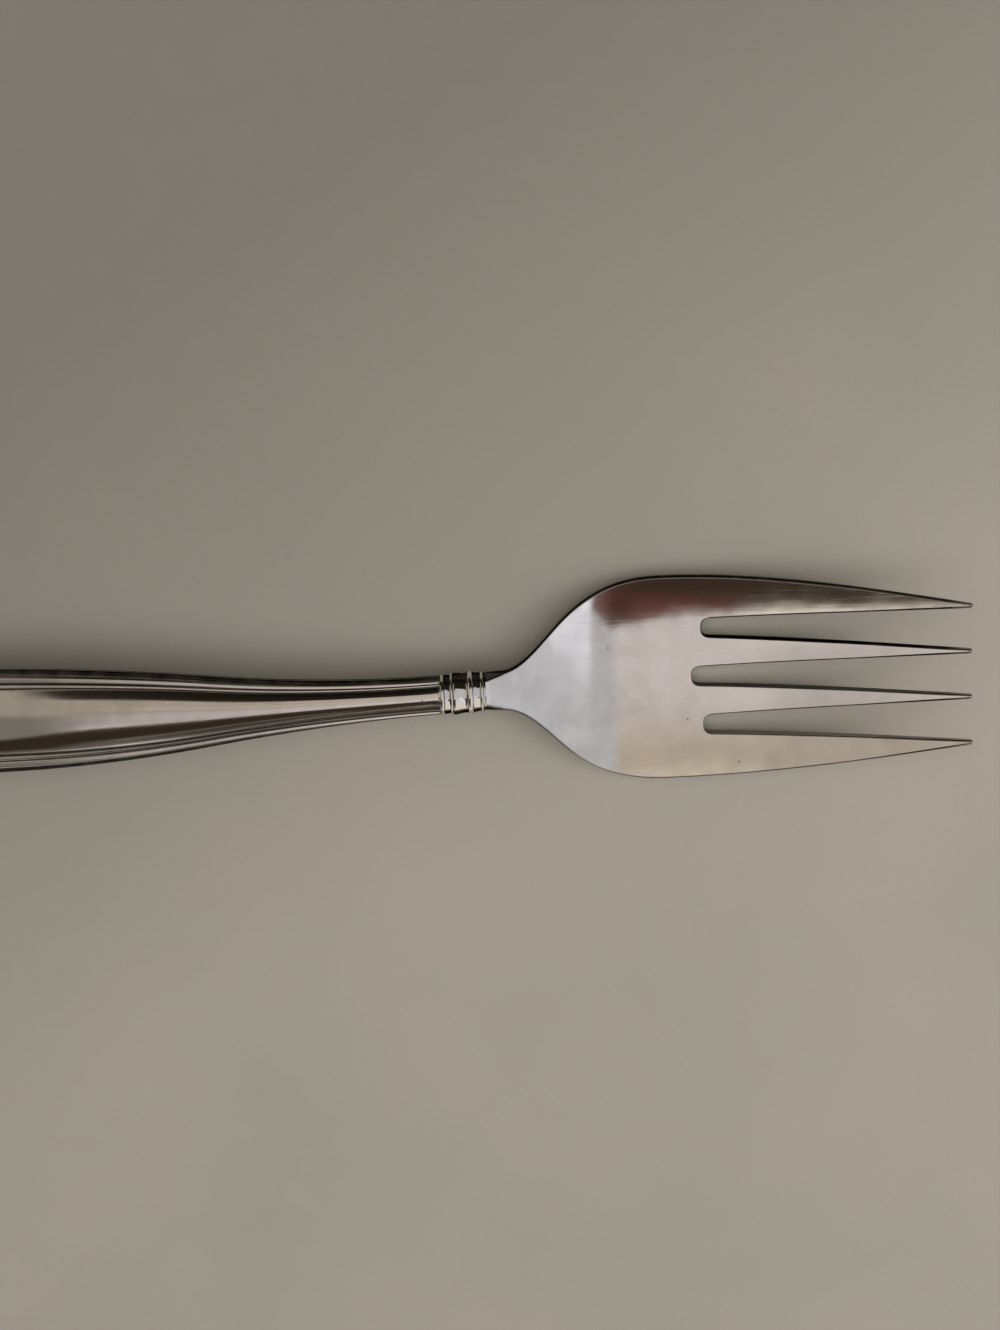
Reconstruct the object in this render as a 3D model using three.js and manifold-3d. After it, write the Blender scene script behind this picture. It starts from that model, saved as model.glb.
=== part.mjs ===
// Cold meat fork with a hollow handle. The four-tine head is one forging whose tang is cemented into
// a handle of two soldered half shells, and a ringed collar closes the mouth of the handle.
// Millimetres. +X points to the tips and +Z up. The fork lies face up on the plane z = 0.
import * as THREE from "three";
import { mergeVertices } from "three/addons/utils/BufferGeometryUtils.js";
import Module from "manifold-3d";

const wasm = await Module();
wasm.setup();

// Lengths along the fork
const headLength = 84.6;
const handleLength = 123.4;

// Side view: heights of the centre line above the table, and where they are reached
const tipHeight = 10.8;
const tipSlope = 0.24;
const bellyAt = 28;
const collarFrontHeight = 6;
const collarRearHeight = 7;
const endHeight = 1.25;
const endSlope = 0.3;
const wornFlat = 0.1;

// Plan of the head
const neckWidth = 6.7;
const neckLength = 3;
const shoulderAt = 13.15;
const shoulderWidth = 21.6;
const shoulderFlare = 1;
const bowlAt = 31.5;
const bowlWidth = 36.5;
const tineTaper = 0.16;

// Hollow of the bowl and thickness of the head, with its upper and lower faces drawn in towards the edges
const bowlDish = 1.2;
const dishFrom = 2;
const dishFull = 18;
const neckThickness = 4.4;
const neckThinning = 0.2;
const thinAt = 12;
const bowlThickness = 2.3;
const tineThickAt = 52;
const tineThickness = 2.6;
const tipThickness = 1.1;
const tipThinning = 0.06;
const neckCrown = 0.7;
const bowlCrown = 0.4;
const neckCrownPower = 2.2;
const bowlCrownPower = 10;

// Tines and the slots between them
const tineCount = 4;
const tipPitch = 8.12;
const tipWidth = 0.95;
const tipRound = THREE.MathUtils.degToRad(75);
const rootPitch = 8.8;
const rootWidth = 3.45;
const rootCorner = 1.3;
const middleRootAt = 36.65;
const outerRootStep = 1.85;

// Tang behind the neck
const tangLength = 60;
const tangWidth = 2.2;
const tangThickness = 2.2;
const tangOverlap = 1;

// Collar, which swells between its ends: from the rear face, each ring has its width, its rise and the
// hollow band that follows it
const bandWidth = 6.6;
const bandHeight = 6.1;
const bandSwell = 0.35;
const scotiaDepth = 0.08;
const spigotLength = 3;
const rings = [
  { width: 0.7, rise: 0.15, band: 1.06 },
  { width: 0.46, rise: 0.2, band: 2.59 },
  { width: 0.92, rise: 0.3, band: 1.3 },
  { width: 0.56, rise: 0.2, band: 0.41 },
];

// Plan of the handle: places run back from the collar
const mouthWidth = 6.6;
const mouthFlare = 0.005;
const waistAt = 40;
const waistWidth = 12.4;
const waistFlare = 0.135;
const handleWidth = 18.5;
const endLength = 38;
const endPower = 2.5;
const endFocus = 9;

// Depth of each half of the handle: a steep rounded side, a sloping border and a crowned panel
const mouthDepth = 2.8;
const bulgeAt = 62;
const bulgeDepth = 2.9;
const endDepth = 2.4;
const sideRound = 0.5;
const borderSlope = 0.1;
const mouthCrown = 0.9;
const bulgeCrown = 1.25;
const endCrown = 0.9;
const crownPower = 2.5;

// Border of the handle with its double thread
const mouthBorder = 1.3;
const mouthBorderFlare = 0.016;
const broadBorderAt = 70;
const broadBorder = 3.2;
const broadBorderFlare = 0.02;
const endBorder = 3;
const endBorderFall = 0.02;
const threadRelief = 0.25;

// Walls and clearances
const shellWall = 0.7;
const solderThickness = 0.2;
const solderFit = 0.05;
const assemblyGap = 0.3;

// Facets, and where the points of a section lie, as shares of the width that they cross
const neckSteps = 2;
const shoulderSteps = 8;
const bowlSteps = 10;
const tineSteps = 13;
const tipSteps = 3;
const slotArcSteps = 5;
const tangSteps = 12;
const tangSides = 16;
const collarSides = 28;
const ringSteps = 4;
const scotiaSteps = 4;
const handleSideSteps = 18;
const handleEndSteps = 9;
const sideSteps = 4;
const acrossHead = [-1, -0.92, -0.75, -0.5, -0.25, 0, 0.25, 0.5, 0.75, 0.92, 1];
const threadShares = [0.44, 0.81];
const grooveShares = [0.66, 0.96];
const panelShares = [0.2, 0.5, 1];
const innerShares = [0.2, 0.5, 1];

const polishedMetal = { color: 0xcdc8c0, roughness: 0.14, metalness: 1 };
const solderMetal = { color: 0xb9b3a8, roughness: 0.35, metalness: 1 };
const cement = { color: 0x9a9387, roughness: 0.9, metalness: 0 };

// A smooth curve through knots [place, value, slope], which runs on straight past its ends.
function curveThrough(knots) {
  const spans = knots.slice(1).map(([x1, v1, m1], i) => {
    const [x0, v0, m0] = knots[i];
    const third = (x1 - x0) / 3;
    return new THREE.CubicBezierCurve(
      new THREE.Vector2(x0, v0),
      new THREE.Vector2(x0 + third, v0 + m0 * third),
      new THREE.Vector2(x1 - third, v1 - m1 * third),
      new THREE.Vector2(x1, v1),
    );
  });
  const [firstX, firstValue, firstSlope] = knots[0];
  const [lastX, lastValue, lastSlope] = knots[knots.length - 1];
  return (place) => {
    if (place <= firstX) return firstValue + firstSlope * (place - firstX);
    if (place >= lastX) return lastValue + lastSlope * (place - lastX);
    const span = spans.find((s) => place <= s.v3.x);
    return span.getPoint((place - span.v0.x) / (span.v3.x - span.v0.x)).y;
  };
}

// Even steps from one place to another, without the last.
function steps(from, to, count) {
  return Array.from({ length: count }, (_, i) => from + ((to - from) * i) / count);
}

// Closed solid from a row of loops with equal counts, each anticlockwise as seen from the next loop.
// The strip that starts at openEdge is left out where the two halves of the row share those points.
function loft(loops, openEdge = -1) {
  const count = loops[0].length;
  const triangles = [];
  for (let i = 0; i + 1 < loops.length; i++) {
    for (let j = 0; j < count; j++) {
      if (j === openEdge) continue;
      const a = i * count + j;
      const b = i * count + ((j + 1) % count);
      triangles.push(a, b, b + count, a, b + count, a + count);
    }
  }
  const cap = (index, neighbour) => {
    const outline = loops[index].map((p) => new THREE.Vector2(p.y, p.z));
    const facesForward = loops[index][0].x > loops[neighbour][0].x;
    for (const face of THREE.ShapeUtils.triangulateShape(outline, [])) {
      const corners = facesForward ? face : face.toReversed();
      triangles.push(...corners.map((corner) => index * count + corner));
    }
  };
  cap(0, 1);
  cap(loops.length - 1, loops.length - 2);
  const positions = loops.flat().flatMap((p) => [p.x, p.y, p.z]);
  const geometry = new THREE.BufferGeometry();
  geometry.setAttribute("position", new THREE.Float32BufferAttribute(positions, 3));
  geometry.setIndex(triangles);
  return geometry;
}

// The same surface as a solid that can be joined and cut.
function solidOf(geometry) {
  const bare = geometry.clone();
  bare.deleteAttribute("normal");
  bare.deleteAttribute("uv");
  const merged = mergeVertices(bare);
  const vertProperties = merged.getAttribute("position").array;
  const triVerts = new Uint32Array(merged.index.array);
  return new wasm.Manifold(new wasm.Mesh({ numProp: 3, vertProperties, triVerts }));
}

// Named mesh of a finished solid.
function meshOf(name, solid, finish) {
  const { vertProperties, triVerts } = solid.getMesh();
  const geometry = new THREE.BufferGeometry();
  geometry.setAttribute("position", new THREE.BufferAttribute(vertProperties, 3));
  geometry.setIndex(new THREE.BufferAttribute(triVerts, 1));
  geometry.computeVertexNormals();
  const mesh = new THREE.Mesh(geometry, new THREE.MeshStandardMaterial(finish));
  mesh.name = name;
  return mesh;
}

// Upright ellipse on the centre line, anticlockwise as seen from the tips.
function ellipse(x, halfWidth, halfHeight, sides) {
  return steps(0, 2 * Math.PI, sides).map((angle) => {
    const y = halfWidth * Math.cos(angle);
    const z = spine(x) + halfHeight * Math.sin(angle);
    return new THREE.Vector3(x, y, z);
  });
}

// Rims of the shells stand this far from the seam, with the solder between them.
const rimLift = solderThickness / 2 + solderFit;

// Depth of a shell on the middle line of the handle, at a place behind the collar.
const shellDepth = curveThrough([
  [0, mouthDepth, 0],
  [bulgeAt, bulgeDepth, 0],
  [handleLength, endDepth, 0],
]);

// Rise of the crowned panel over the border, at a place behind the collar.
const panelCrown = curveThrough([
  [0, mouthCrown, 0],
  [bulgeAt, bulgeCrown, 0],
  [handleLength, endCrown, 0],
]);

// Thickness of the head on its centre line, which swells a little in the tines.
const headThickness = curveThrough([
  [0, neckThickness, -neckThinning],
  [thinAt, bowlThickness, 0],
  [tineThickAt, tineThickness, 0],
  [headLength, tipThickness, -tipThinning],
]);

// Height of the centre line: the handle arches from its end to the collar, and the head dips to its belly.
const collarLength = rings.reduce((sum, { width, band }) => sum + width + band, 0);
const mouthX = -collarLength;
const collarSlope = (collarFrontHeight - collarRearHeight) / collarLength;
const spine = curveThrough([
  [mouthX - handleLength, endHeight, endSlope],
  [mouthX, collarRearHeight, collarSlope],
  [0, collarFrontHeight, collarSlope],
  [bellyAt, headThickness(bellyAt) / 2 - wornFlat, 0],
  [headLength, tipHeight, tipSlope],
]);

// Everything under the plane that the fork rests on, where its belly and its heel are worn flat.
const tableDepth = 10;
const tableLength = 2 * (headLength + collarLength + handleLength);
const tableBlock = new THREE.BoxGeometry(tableLength, 2 * bowlWidth, tableDepth);
const table = solidOf(tableBlock.translate(0, 0, -tableDepth / 2));

// Half width of the head, with the outer side of each outer tine rounded at its tip.
const tipRadius = tipWidth / 2;
const tipRoundAt = headLength - tipRadius * Math.sin(tipRound);
const outerTip = ((tineCount - 1) * tipPitch) / 2;
const headSide = curveThrough([
  [neckLength, neckWidth / 2, 0],
  [shoulderAt, shoulderWidth / 2, shoulderFlare],
  [bowlAt, bowlWidth / 2, 0],
  [tipRoundAt, outerTip + tipRadius, -tineTaper],
]);
function headHalfWidth(x) {
  if (x <= tipRoundAt) return headSide(x);
  return outerTip + Math.sqrt(tipRadius ** 2 - (x - tipRoundAt) ** 2);
}

// Section of the head: a dished strip, nearly round at the neck and flat with eased edges in the bowl.
function headSection(x) {
  const flattening = THREE.MathUtils.smoothstep(x, 0, thinAt);
  const crown = THREE.MathUtils.lerp(neckCrown, bowlCrown, flattening);
  const power = THREE.MathUtils.lerp(neckCrownPower, bowlCrownPower, flattening);
  const dish = bowlDish * THREE.MathUtils.smoothstep(x, dishFrom, dishFull);
  const point = (across, face) => {
    const y = across * headHalfWidth(x);
    const middle = spine(x) + dish * (y / (bowlWidth / 2)) ** 2;
    const half = (headThickness(x) / 2) * (1 - crown * Math.abs(across) ** power);
    return new THREE.Vector3(x, y, middle + face * half);
  };
  const under = acrossHead.map((across) => point(across, -1));
  const upper = acrossHead.toReversed().map((across) => point(across, 1));
  return [...under, ...upper];
}

// Upright cutter for the gap between two tines: blunt root, straight flanks and the rounding of both tips.
function slotCutter(index) {
  const rootX = middleRootAt + outerRootStep * Math.abs(index);
  const rootY = index * rootPitch;
  const tipY = index * tipPitch;
  const rootHalf = rootWidth / 2;
  const quarter = Math.PI / 2;
  const cornerX = rootX + rootCorner;
  const cornerY = rootHalf - rootCorner;
  const beyondTips = headLength + tipPitch;
  const tipEdge = tipPitch / 2 - tipRadius * Math.cos(tipRound);
  const outline = new THREE.Shape();
  outline.absarc(cornerX, rootY + cornerY, rootCorner, quarter, 2 * quarter);
  outline.absarc(cornerX, rootY - cornerY, rootCorner, -2 * quarter, -quarter);
  outline.absarc(tipRoundAt, tipY - tipPitch / 2, tipRadius, quarter, quarter - tipRound, true);
  outline.lineTo(beyondTips, tipY - tipEdge);
  outline.lineTo(beyondTips, tipY + tipEdge);
  outline.absarc(tipRoundAt, tipY + tipPitch / 2, tipRadius, tipRound - quarter, -quarter, true);
  const depth = 2 * (tipHeight + bowlThickness + bowlDish);
  const form = { depth, bevelEnabled: false, curveSegments: slotArcSteps };
  const prism = new THREE.ExtrudeGeometry(outline, form);
  return solidOf(prism.translate(0, 0, -depth / 4));
}

// Tang, grown by a clearance for the holes that take it.
function tang(clearance, front) {
  const places = [...steps(-tangLength - clearance, front, tangSteps), front];
  const halfWidth = tangWidth / 2 + clearance;
  const halfHeight = tangThickness / 2 + clearance;
  return solidOf(loft(places.map((x) => ellipse(x, halfWidth, halfHeight, tangSides))));
}

// Head: bowl, tines, neck and tang in one forging.
function forkHead() {
  const places = [
    ...steps(0, neckLength, neckSteps),
    ...steps(neckLength, shoulderAt, shoulderSteps),
    ...steps(shoulderAt, bowlAt, bowlSteps),
    ...steps(bowlAt, tipRoundAt, tineSteps),
    ...steps(tipRoundAt, headLength, tipSteps),
    headLength,
  ];
  let head = solidOf(loft(places.map(headSection))).add(tang(0, tangOverlap));
  for (let slot = 0; slot < tineCount - 1; slot++) {
    head = head.subtract(slotCutter(slot - (tineCount - 2) / 2));
  }
  return head.subtract(table);
}

// Collar: rings with hollow bands between them, and a spigot that enters the mouth of the handle.
function collar() {
  const ringArc = steps(-Math.PI / 2, Math.PI / 2, ringSteps);
  const outline = [];
  let ringStart = mouthX;
  for (const { width, rise, band } of rings) {
    const ringMiddle = ringStart + width / 2;
    const bandStart = ringStart + width;
    for (const angle of ringArc) {
      outline.push([ringMiddle + (width / 2) * Math.sin(angle), rise * Math.cos(angle)]);
    }
    for (const share of steps(0, 1, scotiaSteps)) {
      outline.push([bandStart + share * band, -scotiaDepth * Math.sin(Math.PI * share)]);
    }
    ringStart = bandStart + band;
  }
  outline.push([0, 0]);
  const bandLoops = outline.map(([x, rise]) => {
    const grown = rise + bandSwell * Math.sin((Math.PI * x) / mouthX);
    return ellipse(x, bandWidth / 2 + grown, bandHeight / 2 + grown, collarSides);
  });
  const inset = shellWall + assemblyGap;
  const spigotHalfWidth = mouthWidth / 2 - inset;
  const spigotHalfHeight = mouthDepth + rimLift - inset;
  const spigotEnds = [mouthX - spigotLength, mouthX + rings[0].width];
  const spigotLoops = spigotEnds.map((x) => ellipse(x, spigotHalfWidth, spigotHalfHeight, collarSides));
  const body = solidOf(loft(bandLoops)).add(solidOf(loft(spigotLoops)));
  return body.subtract(tang(assemblyGap, tangOverlap));
}

// Plan of the handle
const sideLength = handleLength - endLength;
const handleSide = curveThrough([
  [0, mouthWidth / 2, mouthFlare],
  [waistAt, waistWidth / 2, waistFlare],
  [sideLength, handleWidth / 2, 0],
]);
const borderWidth = curveThrough([
  [0, mouthBorder, mouthBorderFlare],
  [broadBorderAt, broadBorder, broadBorderFlare],
  [handleLength, endBorder, -endBorderFall],
]);

// Stations round the edge of the handle, from the mouth on the +Y side to the mouth on the -Y side. Each
// has its edge point, the way in from the edge, and the point of the middle line that its section ends on.
function edgeStations(start) {
  const side = steps(start, sideLength, handleSideSteps).map((s) => [s, handleSide(s)]);
  const end = steps(0, Math.PI / 2, handleEndSteps).map((angle) => [
    sideLength + endLength * Math.sin(angle) ** (2 / endPower),
    (handleWidth / 2) * Math.cos(angle) ** (2 / endPower),
  ]);
  const half = [...side, ...end];
  const otherHalf = half.toReversed().map(([s, y]) => [s, -y]);
  const edge = [...half, [handleLength, 0], ...otherHalf];
  const last = edge.length - 1;
  return edge.map(([s, y], i) => {
    const before = edge[Math.max(i - 1, 0)];
    const after = edge[Math.min(i + 1, last)];
    const inward = new THREE.Vector2(before[1] - after[1], before[0] - after[0]).normalize();
    if (i === 0 || i === last) inward.set(0, -Math.sign(y));
    const point = new THREE.Vector2(mouthX - s, y);
    const middlePlace = start + ((s - start) * (handleLength - endFocus - start)) / (handleLength - start);
    const middle = new THREE.Vector2(mouthX - middlePlace, 0);
    const border = borderWidth(s);
    const panelEdge = point.clone().addScaledVector(inward, border);
    const reach = border + panelEdge.distanceTo(middle);
    const depth = shellDepth(middlePlace);
    const crown = panelCrown(middlePlace);
    return { point, inward, middle, border, panelEdge, reach, depth, crown };
  });
}

// Point of a skin that lies inset within the outer one, a distance along the section from the edge.
function skinPoint(station, inset, along, rise) {
  const { point, inward, middle, border, panelEdge, reach, depth, crown } = station;
  const plan = point.clone().addScaledVector(inward, Math.min(along, border));
  if (along > border) plan.copy(panelEdge).lerp(middle, (along - border) / (reach - border));
  const borderRise = borderSlope * (border - sideRound);
  const side = depth - inset - crown - borderRise;
  const fromTop = Math.max(0, 1 - (along - inset) / sideRound);
  const onBorder = THREE.MathUtils.clamp((along - sideRound) / (border - sideRound), 0, 1);
  const fromMiddle = THREE.MathUtils.clamp((reach - along) / (reach - border), 0, 1);
  const sideHeight = side * Math.sqrt(1 - fromTop ** 2);
  const height = sideHeight + borderRise * onBorder + crown * (1 - fromMiddle ** crownPower) + rise;
  return { x: plan.x, y: plan.y, height };
}

// Rows that round the side of a skin, from its rim up to its border.
function sideRows(station, inset) {
  const turns = [...steps(0, Math.PI / 2, sideSteps), Math.PI / 2];
  return turns.map((turn) => skinPoint(station, inset, inset + sideRound * (1 - Math.cos(turn)), 0));
}

// Rows of the outer skin from the rim to the middle line: side, two threads and the plain panel.
function outerRows(station) {
  const { border, reach } = station;
  const inBorder = (share, rise) => skinPoint(station, 0, share * border, rise);
  const threads = threadShares.flatMap((share, i) => {
    return [inBorder(share, threadRelief), inBorder(grooveShares[i], 0)];
  });
  const panel = panelShares.map((share) => skinPoint(station, 0, border + share * (reach - border), 0));
  return [...sideRows(station, 0), ...threads, ...panel];
}

// Rows of a plain inner skin, from its rim to the middle line.
function innerRows(station, inset) {
  const top = inset + sideRound;
  const width = station.reach - top;
  const across = innerShares.map((share) => skinPoint(station, inset, top + share * width, 0));
  return [...sideRows(station, inset), ...across];
}

// Places rows above the seam of the handle, or below it when side is -1.
function placed(rows, side, lift) {
  return rows.map(({ x, y, height }) => new THREE.Vector3(x, y, spine(x) + side * (height + lift)));
}

// Half shell of the handle, front with side 1 and back with side -1.
function halfShell(side) {
  const loops = edgeStations(0).map((station) => {
    const inner = placed(innerRows(station, shellWall), side, rimLift);
    const outer = placed(outerRows(station), side, rimLift);
    return side > 0 ? [...inner, ...outer.toReversed()] : [...outer, ...inner.toReversed()];
  });
  const innerCount = sideSteps + 1 + innerShares.length;
  const openEdge = side > 0 ? innerCount - 1 : loops[0].length - innerCount - 1;
  return solidOf(loft(loops, openEdge)).subtract(table);
}

// Ribbon of solder between the rims of the two shells, round the end of the handle.
function seamSolder() {
  const half = solderThickness / 2;
  const loops = edgeStations(0).map((station) => {
    const rim = [skinPoint(station, 0, 0, half), skinPoint(station, shellWall, shellWall, half)];
    return [...placed(rim.toReversed(), 1, 0), ...placed(rim, -1, 0)];
  });
  return solidOf(loft(loops));
}

// Cement that fills the handle behind the spigot and holds the tang.
function handleFiller() {
  const inset = shellWall + assemblyGap;
  const loops = edgeStations(spigotLength + assemblyGap).map((station) => {
    const rows = innerRows(station, inset);
    return [...placed(rows, 1, 0).toReversed(), ...placed(rows.slice(1), -1, 0)];
  });
  const filled = solidOf(loft(loops, loops[0].length - 1));
  return filled.subtract(tang(assemblyGap, tangOverlap));
}

// The fork is built from the joint of head and collar, and centred on its own length.
const fork = new THREE.Group();
fork.position.x = (handleLength + collarLength - headLength) / 2;
fork.add(
  meshOf("fork_head", forkHead(), polishedMetal),
  meshOf("collar", collar(), polishedMetal),
  meshOf("handle_front_shell", halfShell(1), polishedMetal),
  meshOf("handle_back_shell", halfShell(-1), polishedMetal),
  meshOf("seam_solder", seamSolder(), solderMetal),
  meshOf("handle_filler", handleFiller(), cement),
);

const group = new THREE.Group();
group.add(fork);

export default group;
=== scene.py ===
import math
from collections import namedtuple

import bmesh
import bpy
from mathutils import Matrix, Vector


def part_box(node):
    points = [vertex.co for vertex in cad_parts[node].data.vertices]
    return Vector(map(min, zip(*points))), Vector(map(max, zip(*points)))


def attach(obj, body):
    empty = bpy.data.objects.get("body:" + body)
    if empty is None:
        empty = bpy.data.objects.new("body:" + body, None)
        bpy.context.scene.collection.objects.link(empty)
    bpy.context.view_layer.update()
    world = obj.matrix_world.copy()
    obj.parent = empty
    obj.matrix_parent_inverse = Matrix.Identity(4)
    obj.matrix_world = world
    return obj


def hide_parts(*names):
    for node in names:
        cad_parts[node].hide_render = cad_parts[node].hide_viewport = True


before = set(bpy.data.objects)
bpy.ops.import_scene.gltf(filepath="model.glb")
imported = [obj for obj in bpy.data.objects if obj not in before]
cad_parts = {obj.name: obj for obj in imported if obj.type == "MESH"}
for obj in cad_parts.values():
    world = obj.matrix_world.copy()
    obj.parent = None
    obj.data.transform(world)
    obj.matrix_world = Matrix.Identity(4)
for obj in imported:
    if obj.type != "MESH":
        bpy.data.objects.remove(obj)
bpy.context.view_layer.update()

# Fork head. One forging of silver-coloured metal: a dished bowl with four tapering tines, drawn in to a
# rounded neck. The slots are cut through it and every edge is eased and polished. Its tang runs back
# through the collar into the handle, where cement holds it.
mm = 0.001
neck_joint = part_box("collar")[1].x
head_length = 84.6
collar_length = 8.0
handle_length = 123.4
tip_height = 10.8
tip_slope = 0.24
belly_at = 28.0
collar_front_height = 6.0
collar_rear_height = 7.0
end_height = 1.25
end_slope = 0.3
worn_flat = 0.1
neck_width = 6.7
neck_length = 3.0
shoulder_at = 13.15
shoulder_width = 21.6
shoulder_flare = 1.0
bowl_at = 31.5
bowl_width = 36.5
tine_taper = 0.16
bowl_dish = 1.2
dish_from = 2.0
dish_full = 18.0
neck_thickness = 4.4
neck_thinning = 0.2
bowl_thickness = 2.3
tip_thickness = 1.1
thin_at = 12.0
tine_thick_at = 52.0
tine_thickness = 2.6
tip_thinning = 0.06
neck_chamfer = 1.1
chamfer_length = 3.7
chamfer_slope = 1.8
under_crown = 0.7
under_crown_power = 2.2
tine_count = 4
tip_pitch = 8.12
tip_width = 0.95
tip_reach = 0.46
root_pitch = 8.8
root_width = 3.45
root_corner = 1.3
middle_root_at = 36.65
outer_root_step = 1.85
tang_length = 60.0
tang_width = 2.2
tang_thickness = 2.2
bowl_rim = 0.12
tine_rim = 0.2
tip_rim = 0.44
# Painted shade on the walls of the slots and the outline, for the dark that these walls mirror
painted_slot_shade = 1.0
low_slot_fade = 0.5
painted_outline_shade = 0.9
painted_bowl_edge_shade = 0.3
painted_tine_edge_shade = 1.0
# Width, blur and fade of a line of painted shade beside the neck
neck_line_width = 0.32
neck_line_blur = 0.1
neck_line_fade = (12.0, 24.0)
edge_change = (0.4, 0.7)
tip_shade_fade = 0.5
tip_shade_fade_from = 0.9
bowl_rows = 76
tine_rows = 84
tine_shares = (0.0, 0.02, 0.05, 0.16, 0.33, 0.5, 0.67, 0.84, 0.95, 0.98)
slot_cells = 12
rim_steps = 4
root_hold = 0.003
slope_step = 0.05
tang_steps = 12


def curve_through(knots):
    """A smooth curve through (place, value, slope) knots, which runs on straight past its ends."""
    def value(place):
        if place <= knots[0][0]:
            return knots[0][1] + knots[0][2] * (place - knots[0][0])
        for (x0, v0, m0), (x1, v1, m1) in zip(knots, knots[1:]):
            if place <= x1:
                span = x1 - x0
                t = (place - x0) / span
                rest = 1 - t
                return (v0 * (1 + 2 * t) * rest ** 2 + v1 * (1 + 2 * rest) * t ** 2
                        + span * t * rest * (m0 * rest - m1 * t))
        return knots[-1][1] + knots[-1][2] * (place - knots[-1][0])
    return value


def ease(value, start, end):
    """Rises smoothly from 0 to 1 while a value goes from start to end."""
    t = min(max((value - start) / (end - start), 0.0), 1.0)
    return t * t * (3 - 2 * t)


def between(a, b, share):
    """The value at a share of the way from a to b."""
    return a + (b - a) * share


def in_frame(x, y, z):
    """A point given in millimetres from the joint of neck and collar."""
    return Vector((neck_joint + x * mm, y * mm, max(z, 0.0) * mm))


def grid_sheet(rows, columns):
    """A sheet of square cells whose corners lie on whole numbers: row in x, column in y."""
    bm = bmesh.new()
    bmesh.ops.create_grid(bm, x_segments=rows, y_segments=columns, size=0.5)
    bmesh.ops.translate(bm, verts=bm.verts, vec=(0.5, 0.5, 0.0))
    bmesh.ops.scale(bm, verts=bm.verts, vec=(rows, columns, 1.0))
    return bm


def is_upright(edge):
    """Whether an edge of a slab that still lies on whole numbers runs from layer to layer."""
    return abs(edge.verts[0].co.z - edge.verts[1].co.z) > 0.5


def thicken(bm, layers):
    """Turns a sheet into a slab whose walls have that many layers, counted downwards in -z."""
    slab = bmesh.ops.extrude_face_region(bm, geom=bm.faces[:], use_keep_orig=True)
    lower = [v for v in slab["geom"] if isinstance(v, bmesh.types.BMVert)]
    bmesh.ops.translate(bm, verts=lower, vec=(0.0, 0.0, -layers))
    upright = [e for e in bm.edges if is_upright(e)]
    if layers > 1:
        bmesh.ops.subdivide_edges(bm, edges=upright, cuts=layers - 1, use_grid_fill=True)


def finish_mesh(bm, name, sharp_angle):
    """Closes a bmesh into a shaded object at the origin."""
    bmesh.ops.recalc_face_normals(bm, faces=bm.faces[:])
    for face in bm.faces:
        face.smooth = True
    mesh = bpy.data.meshes.new(name)
    bm.to_mesh(mesh)
    bm.free()
    mesh.set_sharp_from_angle(angle=math.radians(sharp_angle))
    piece = bpy.data.objects.new(name, mesh)
    bpy.context.scene.collection.objects.link(piece)
    return piece


head_thickness = curve_through([
    (0.0, neck_thickness, -neck_thinning),
    (thin_at, bowl_thickness, 0.0),
    (tine_thick_at, tine_thickness, 0.0),
    (head_length, tip_thickness, -tip_thinning),
])
collar_slope = (collar_front_height - collar_rear_height) / collar_length
centre_height = curve_through([
    (-collar_length - handle_length, end_height, end_slope),
    (-collar_length, collar_rear_height, collar_slope),
    (0.0, collar_front_height, collar_slope),
    (belly_at, head_thickness(belly_at) / 2 - worn_flat, 0.0),
    (head_length, tip_height, tip_slope),
])
tip_radius = tip_width / 2
tip_round_at = head_length - tip_reach
outer_tip = (tine_count - 1) * tip_pitch / 2
head_side = curve_through([
    (neck_length, neck_width / 2, 0.0),
    (shoulder_at, shoulder_width / 2, shoulder_flare),
    (bowl_at, bowl_width / 2, 0.0),
    (tip_round_at, outer_tip + tip_radius, -tine_taper),
])

# Lines along the head, as (lane, share of the lane): even lanes are tines and odd lanes are slots.
head_lines = []
for lane in range(2 * tine_count - 1):
    shares = [cell / slot_cells for cell in range(slot_cells)] if lane % 2 else tine_shares
    head_lines += [(lane, share) for share in shares]
head_lines.append((2 * tine_count - 2, 1.0))


def slot_index(lane):
    """Number of a slot, counted from the middle one: negative on the -Y side."""
    return (lane - 1) / 2 - (tine_count - 2) / 2


def slot_root(lane):
    """How far from the collar the blunt root of a slot lies."""
    return middle_root_at + outer_root_step * abs(slot_index(lane))


def root_point(lane, share, inset):
    """A point on the blunt root of a slot, set back from its edge, from one flank to the other."""
    corner = root_corner + inset
    level = root_width - 2 * root_corner
    arc = corner * math.pi / 2
    along = share * (2 * arc + level)
    if along < arc:
        x, y = corner * (1 - math.sin(along / corner)), -level / 2 - corner * math.cos(along / corner)
    elif along <= arc + level:
        x, y = 0.0, along - arc - level / 2
    else:
        turn = (along - arc - level) / corner
        x, y = corner * (1 - math.cos(turn)), level / 2 + corner * math.sin(turn)
    return slot_root(lane) - inset + x, root_pitch * slot_index(lane) + y


def outline_half(x, inset):
    """Half width of the head at a place, with its outline set in by a distance square to it."""
    slope = (head_side(x + slope_step) - head_side(x - slope_step)) / (2 * slope_step)
    return head_side(x) - inset * math.hypot(1.0, slope)


def tine_edges(tine, x, inset):
    """The low and high edges of a tine at a place along it, both set in."""
    tip_y = (tine - (tine_count - 1) / 2) * tip_pitch
    edges = []
    for side in (-1, 1):
        lane = 2 * tine + side
        tip_edge = tip_y + side * (tip_radius - inset)
        if x >= tip_round_at:
            edges.append(tip_edge)
        elif 0 < lane < 2 * tine_count - 2:
            start = slot_root(lane) + root_corner
            root_edge = root_pitch * slot_index(lane) - side * (root_width / 2 + inset)
            edges.append(between(root_edge, tip_edge, (x - start) / (tip_round_at - start)))
        else:
            edges.append(side * outline_half(x, inset))
    return edges


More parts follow.
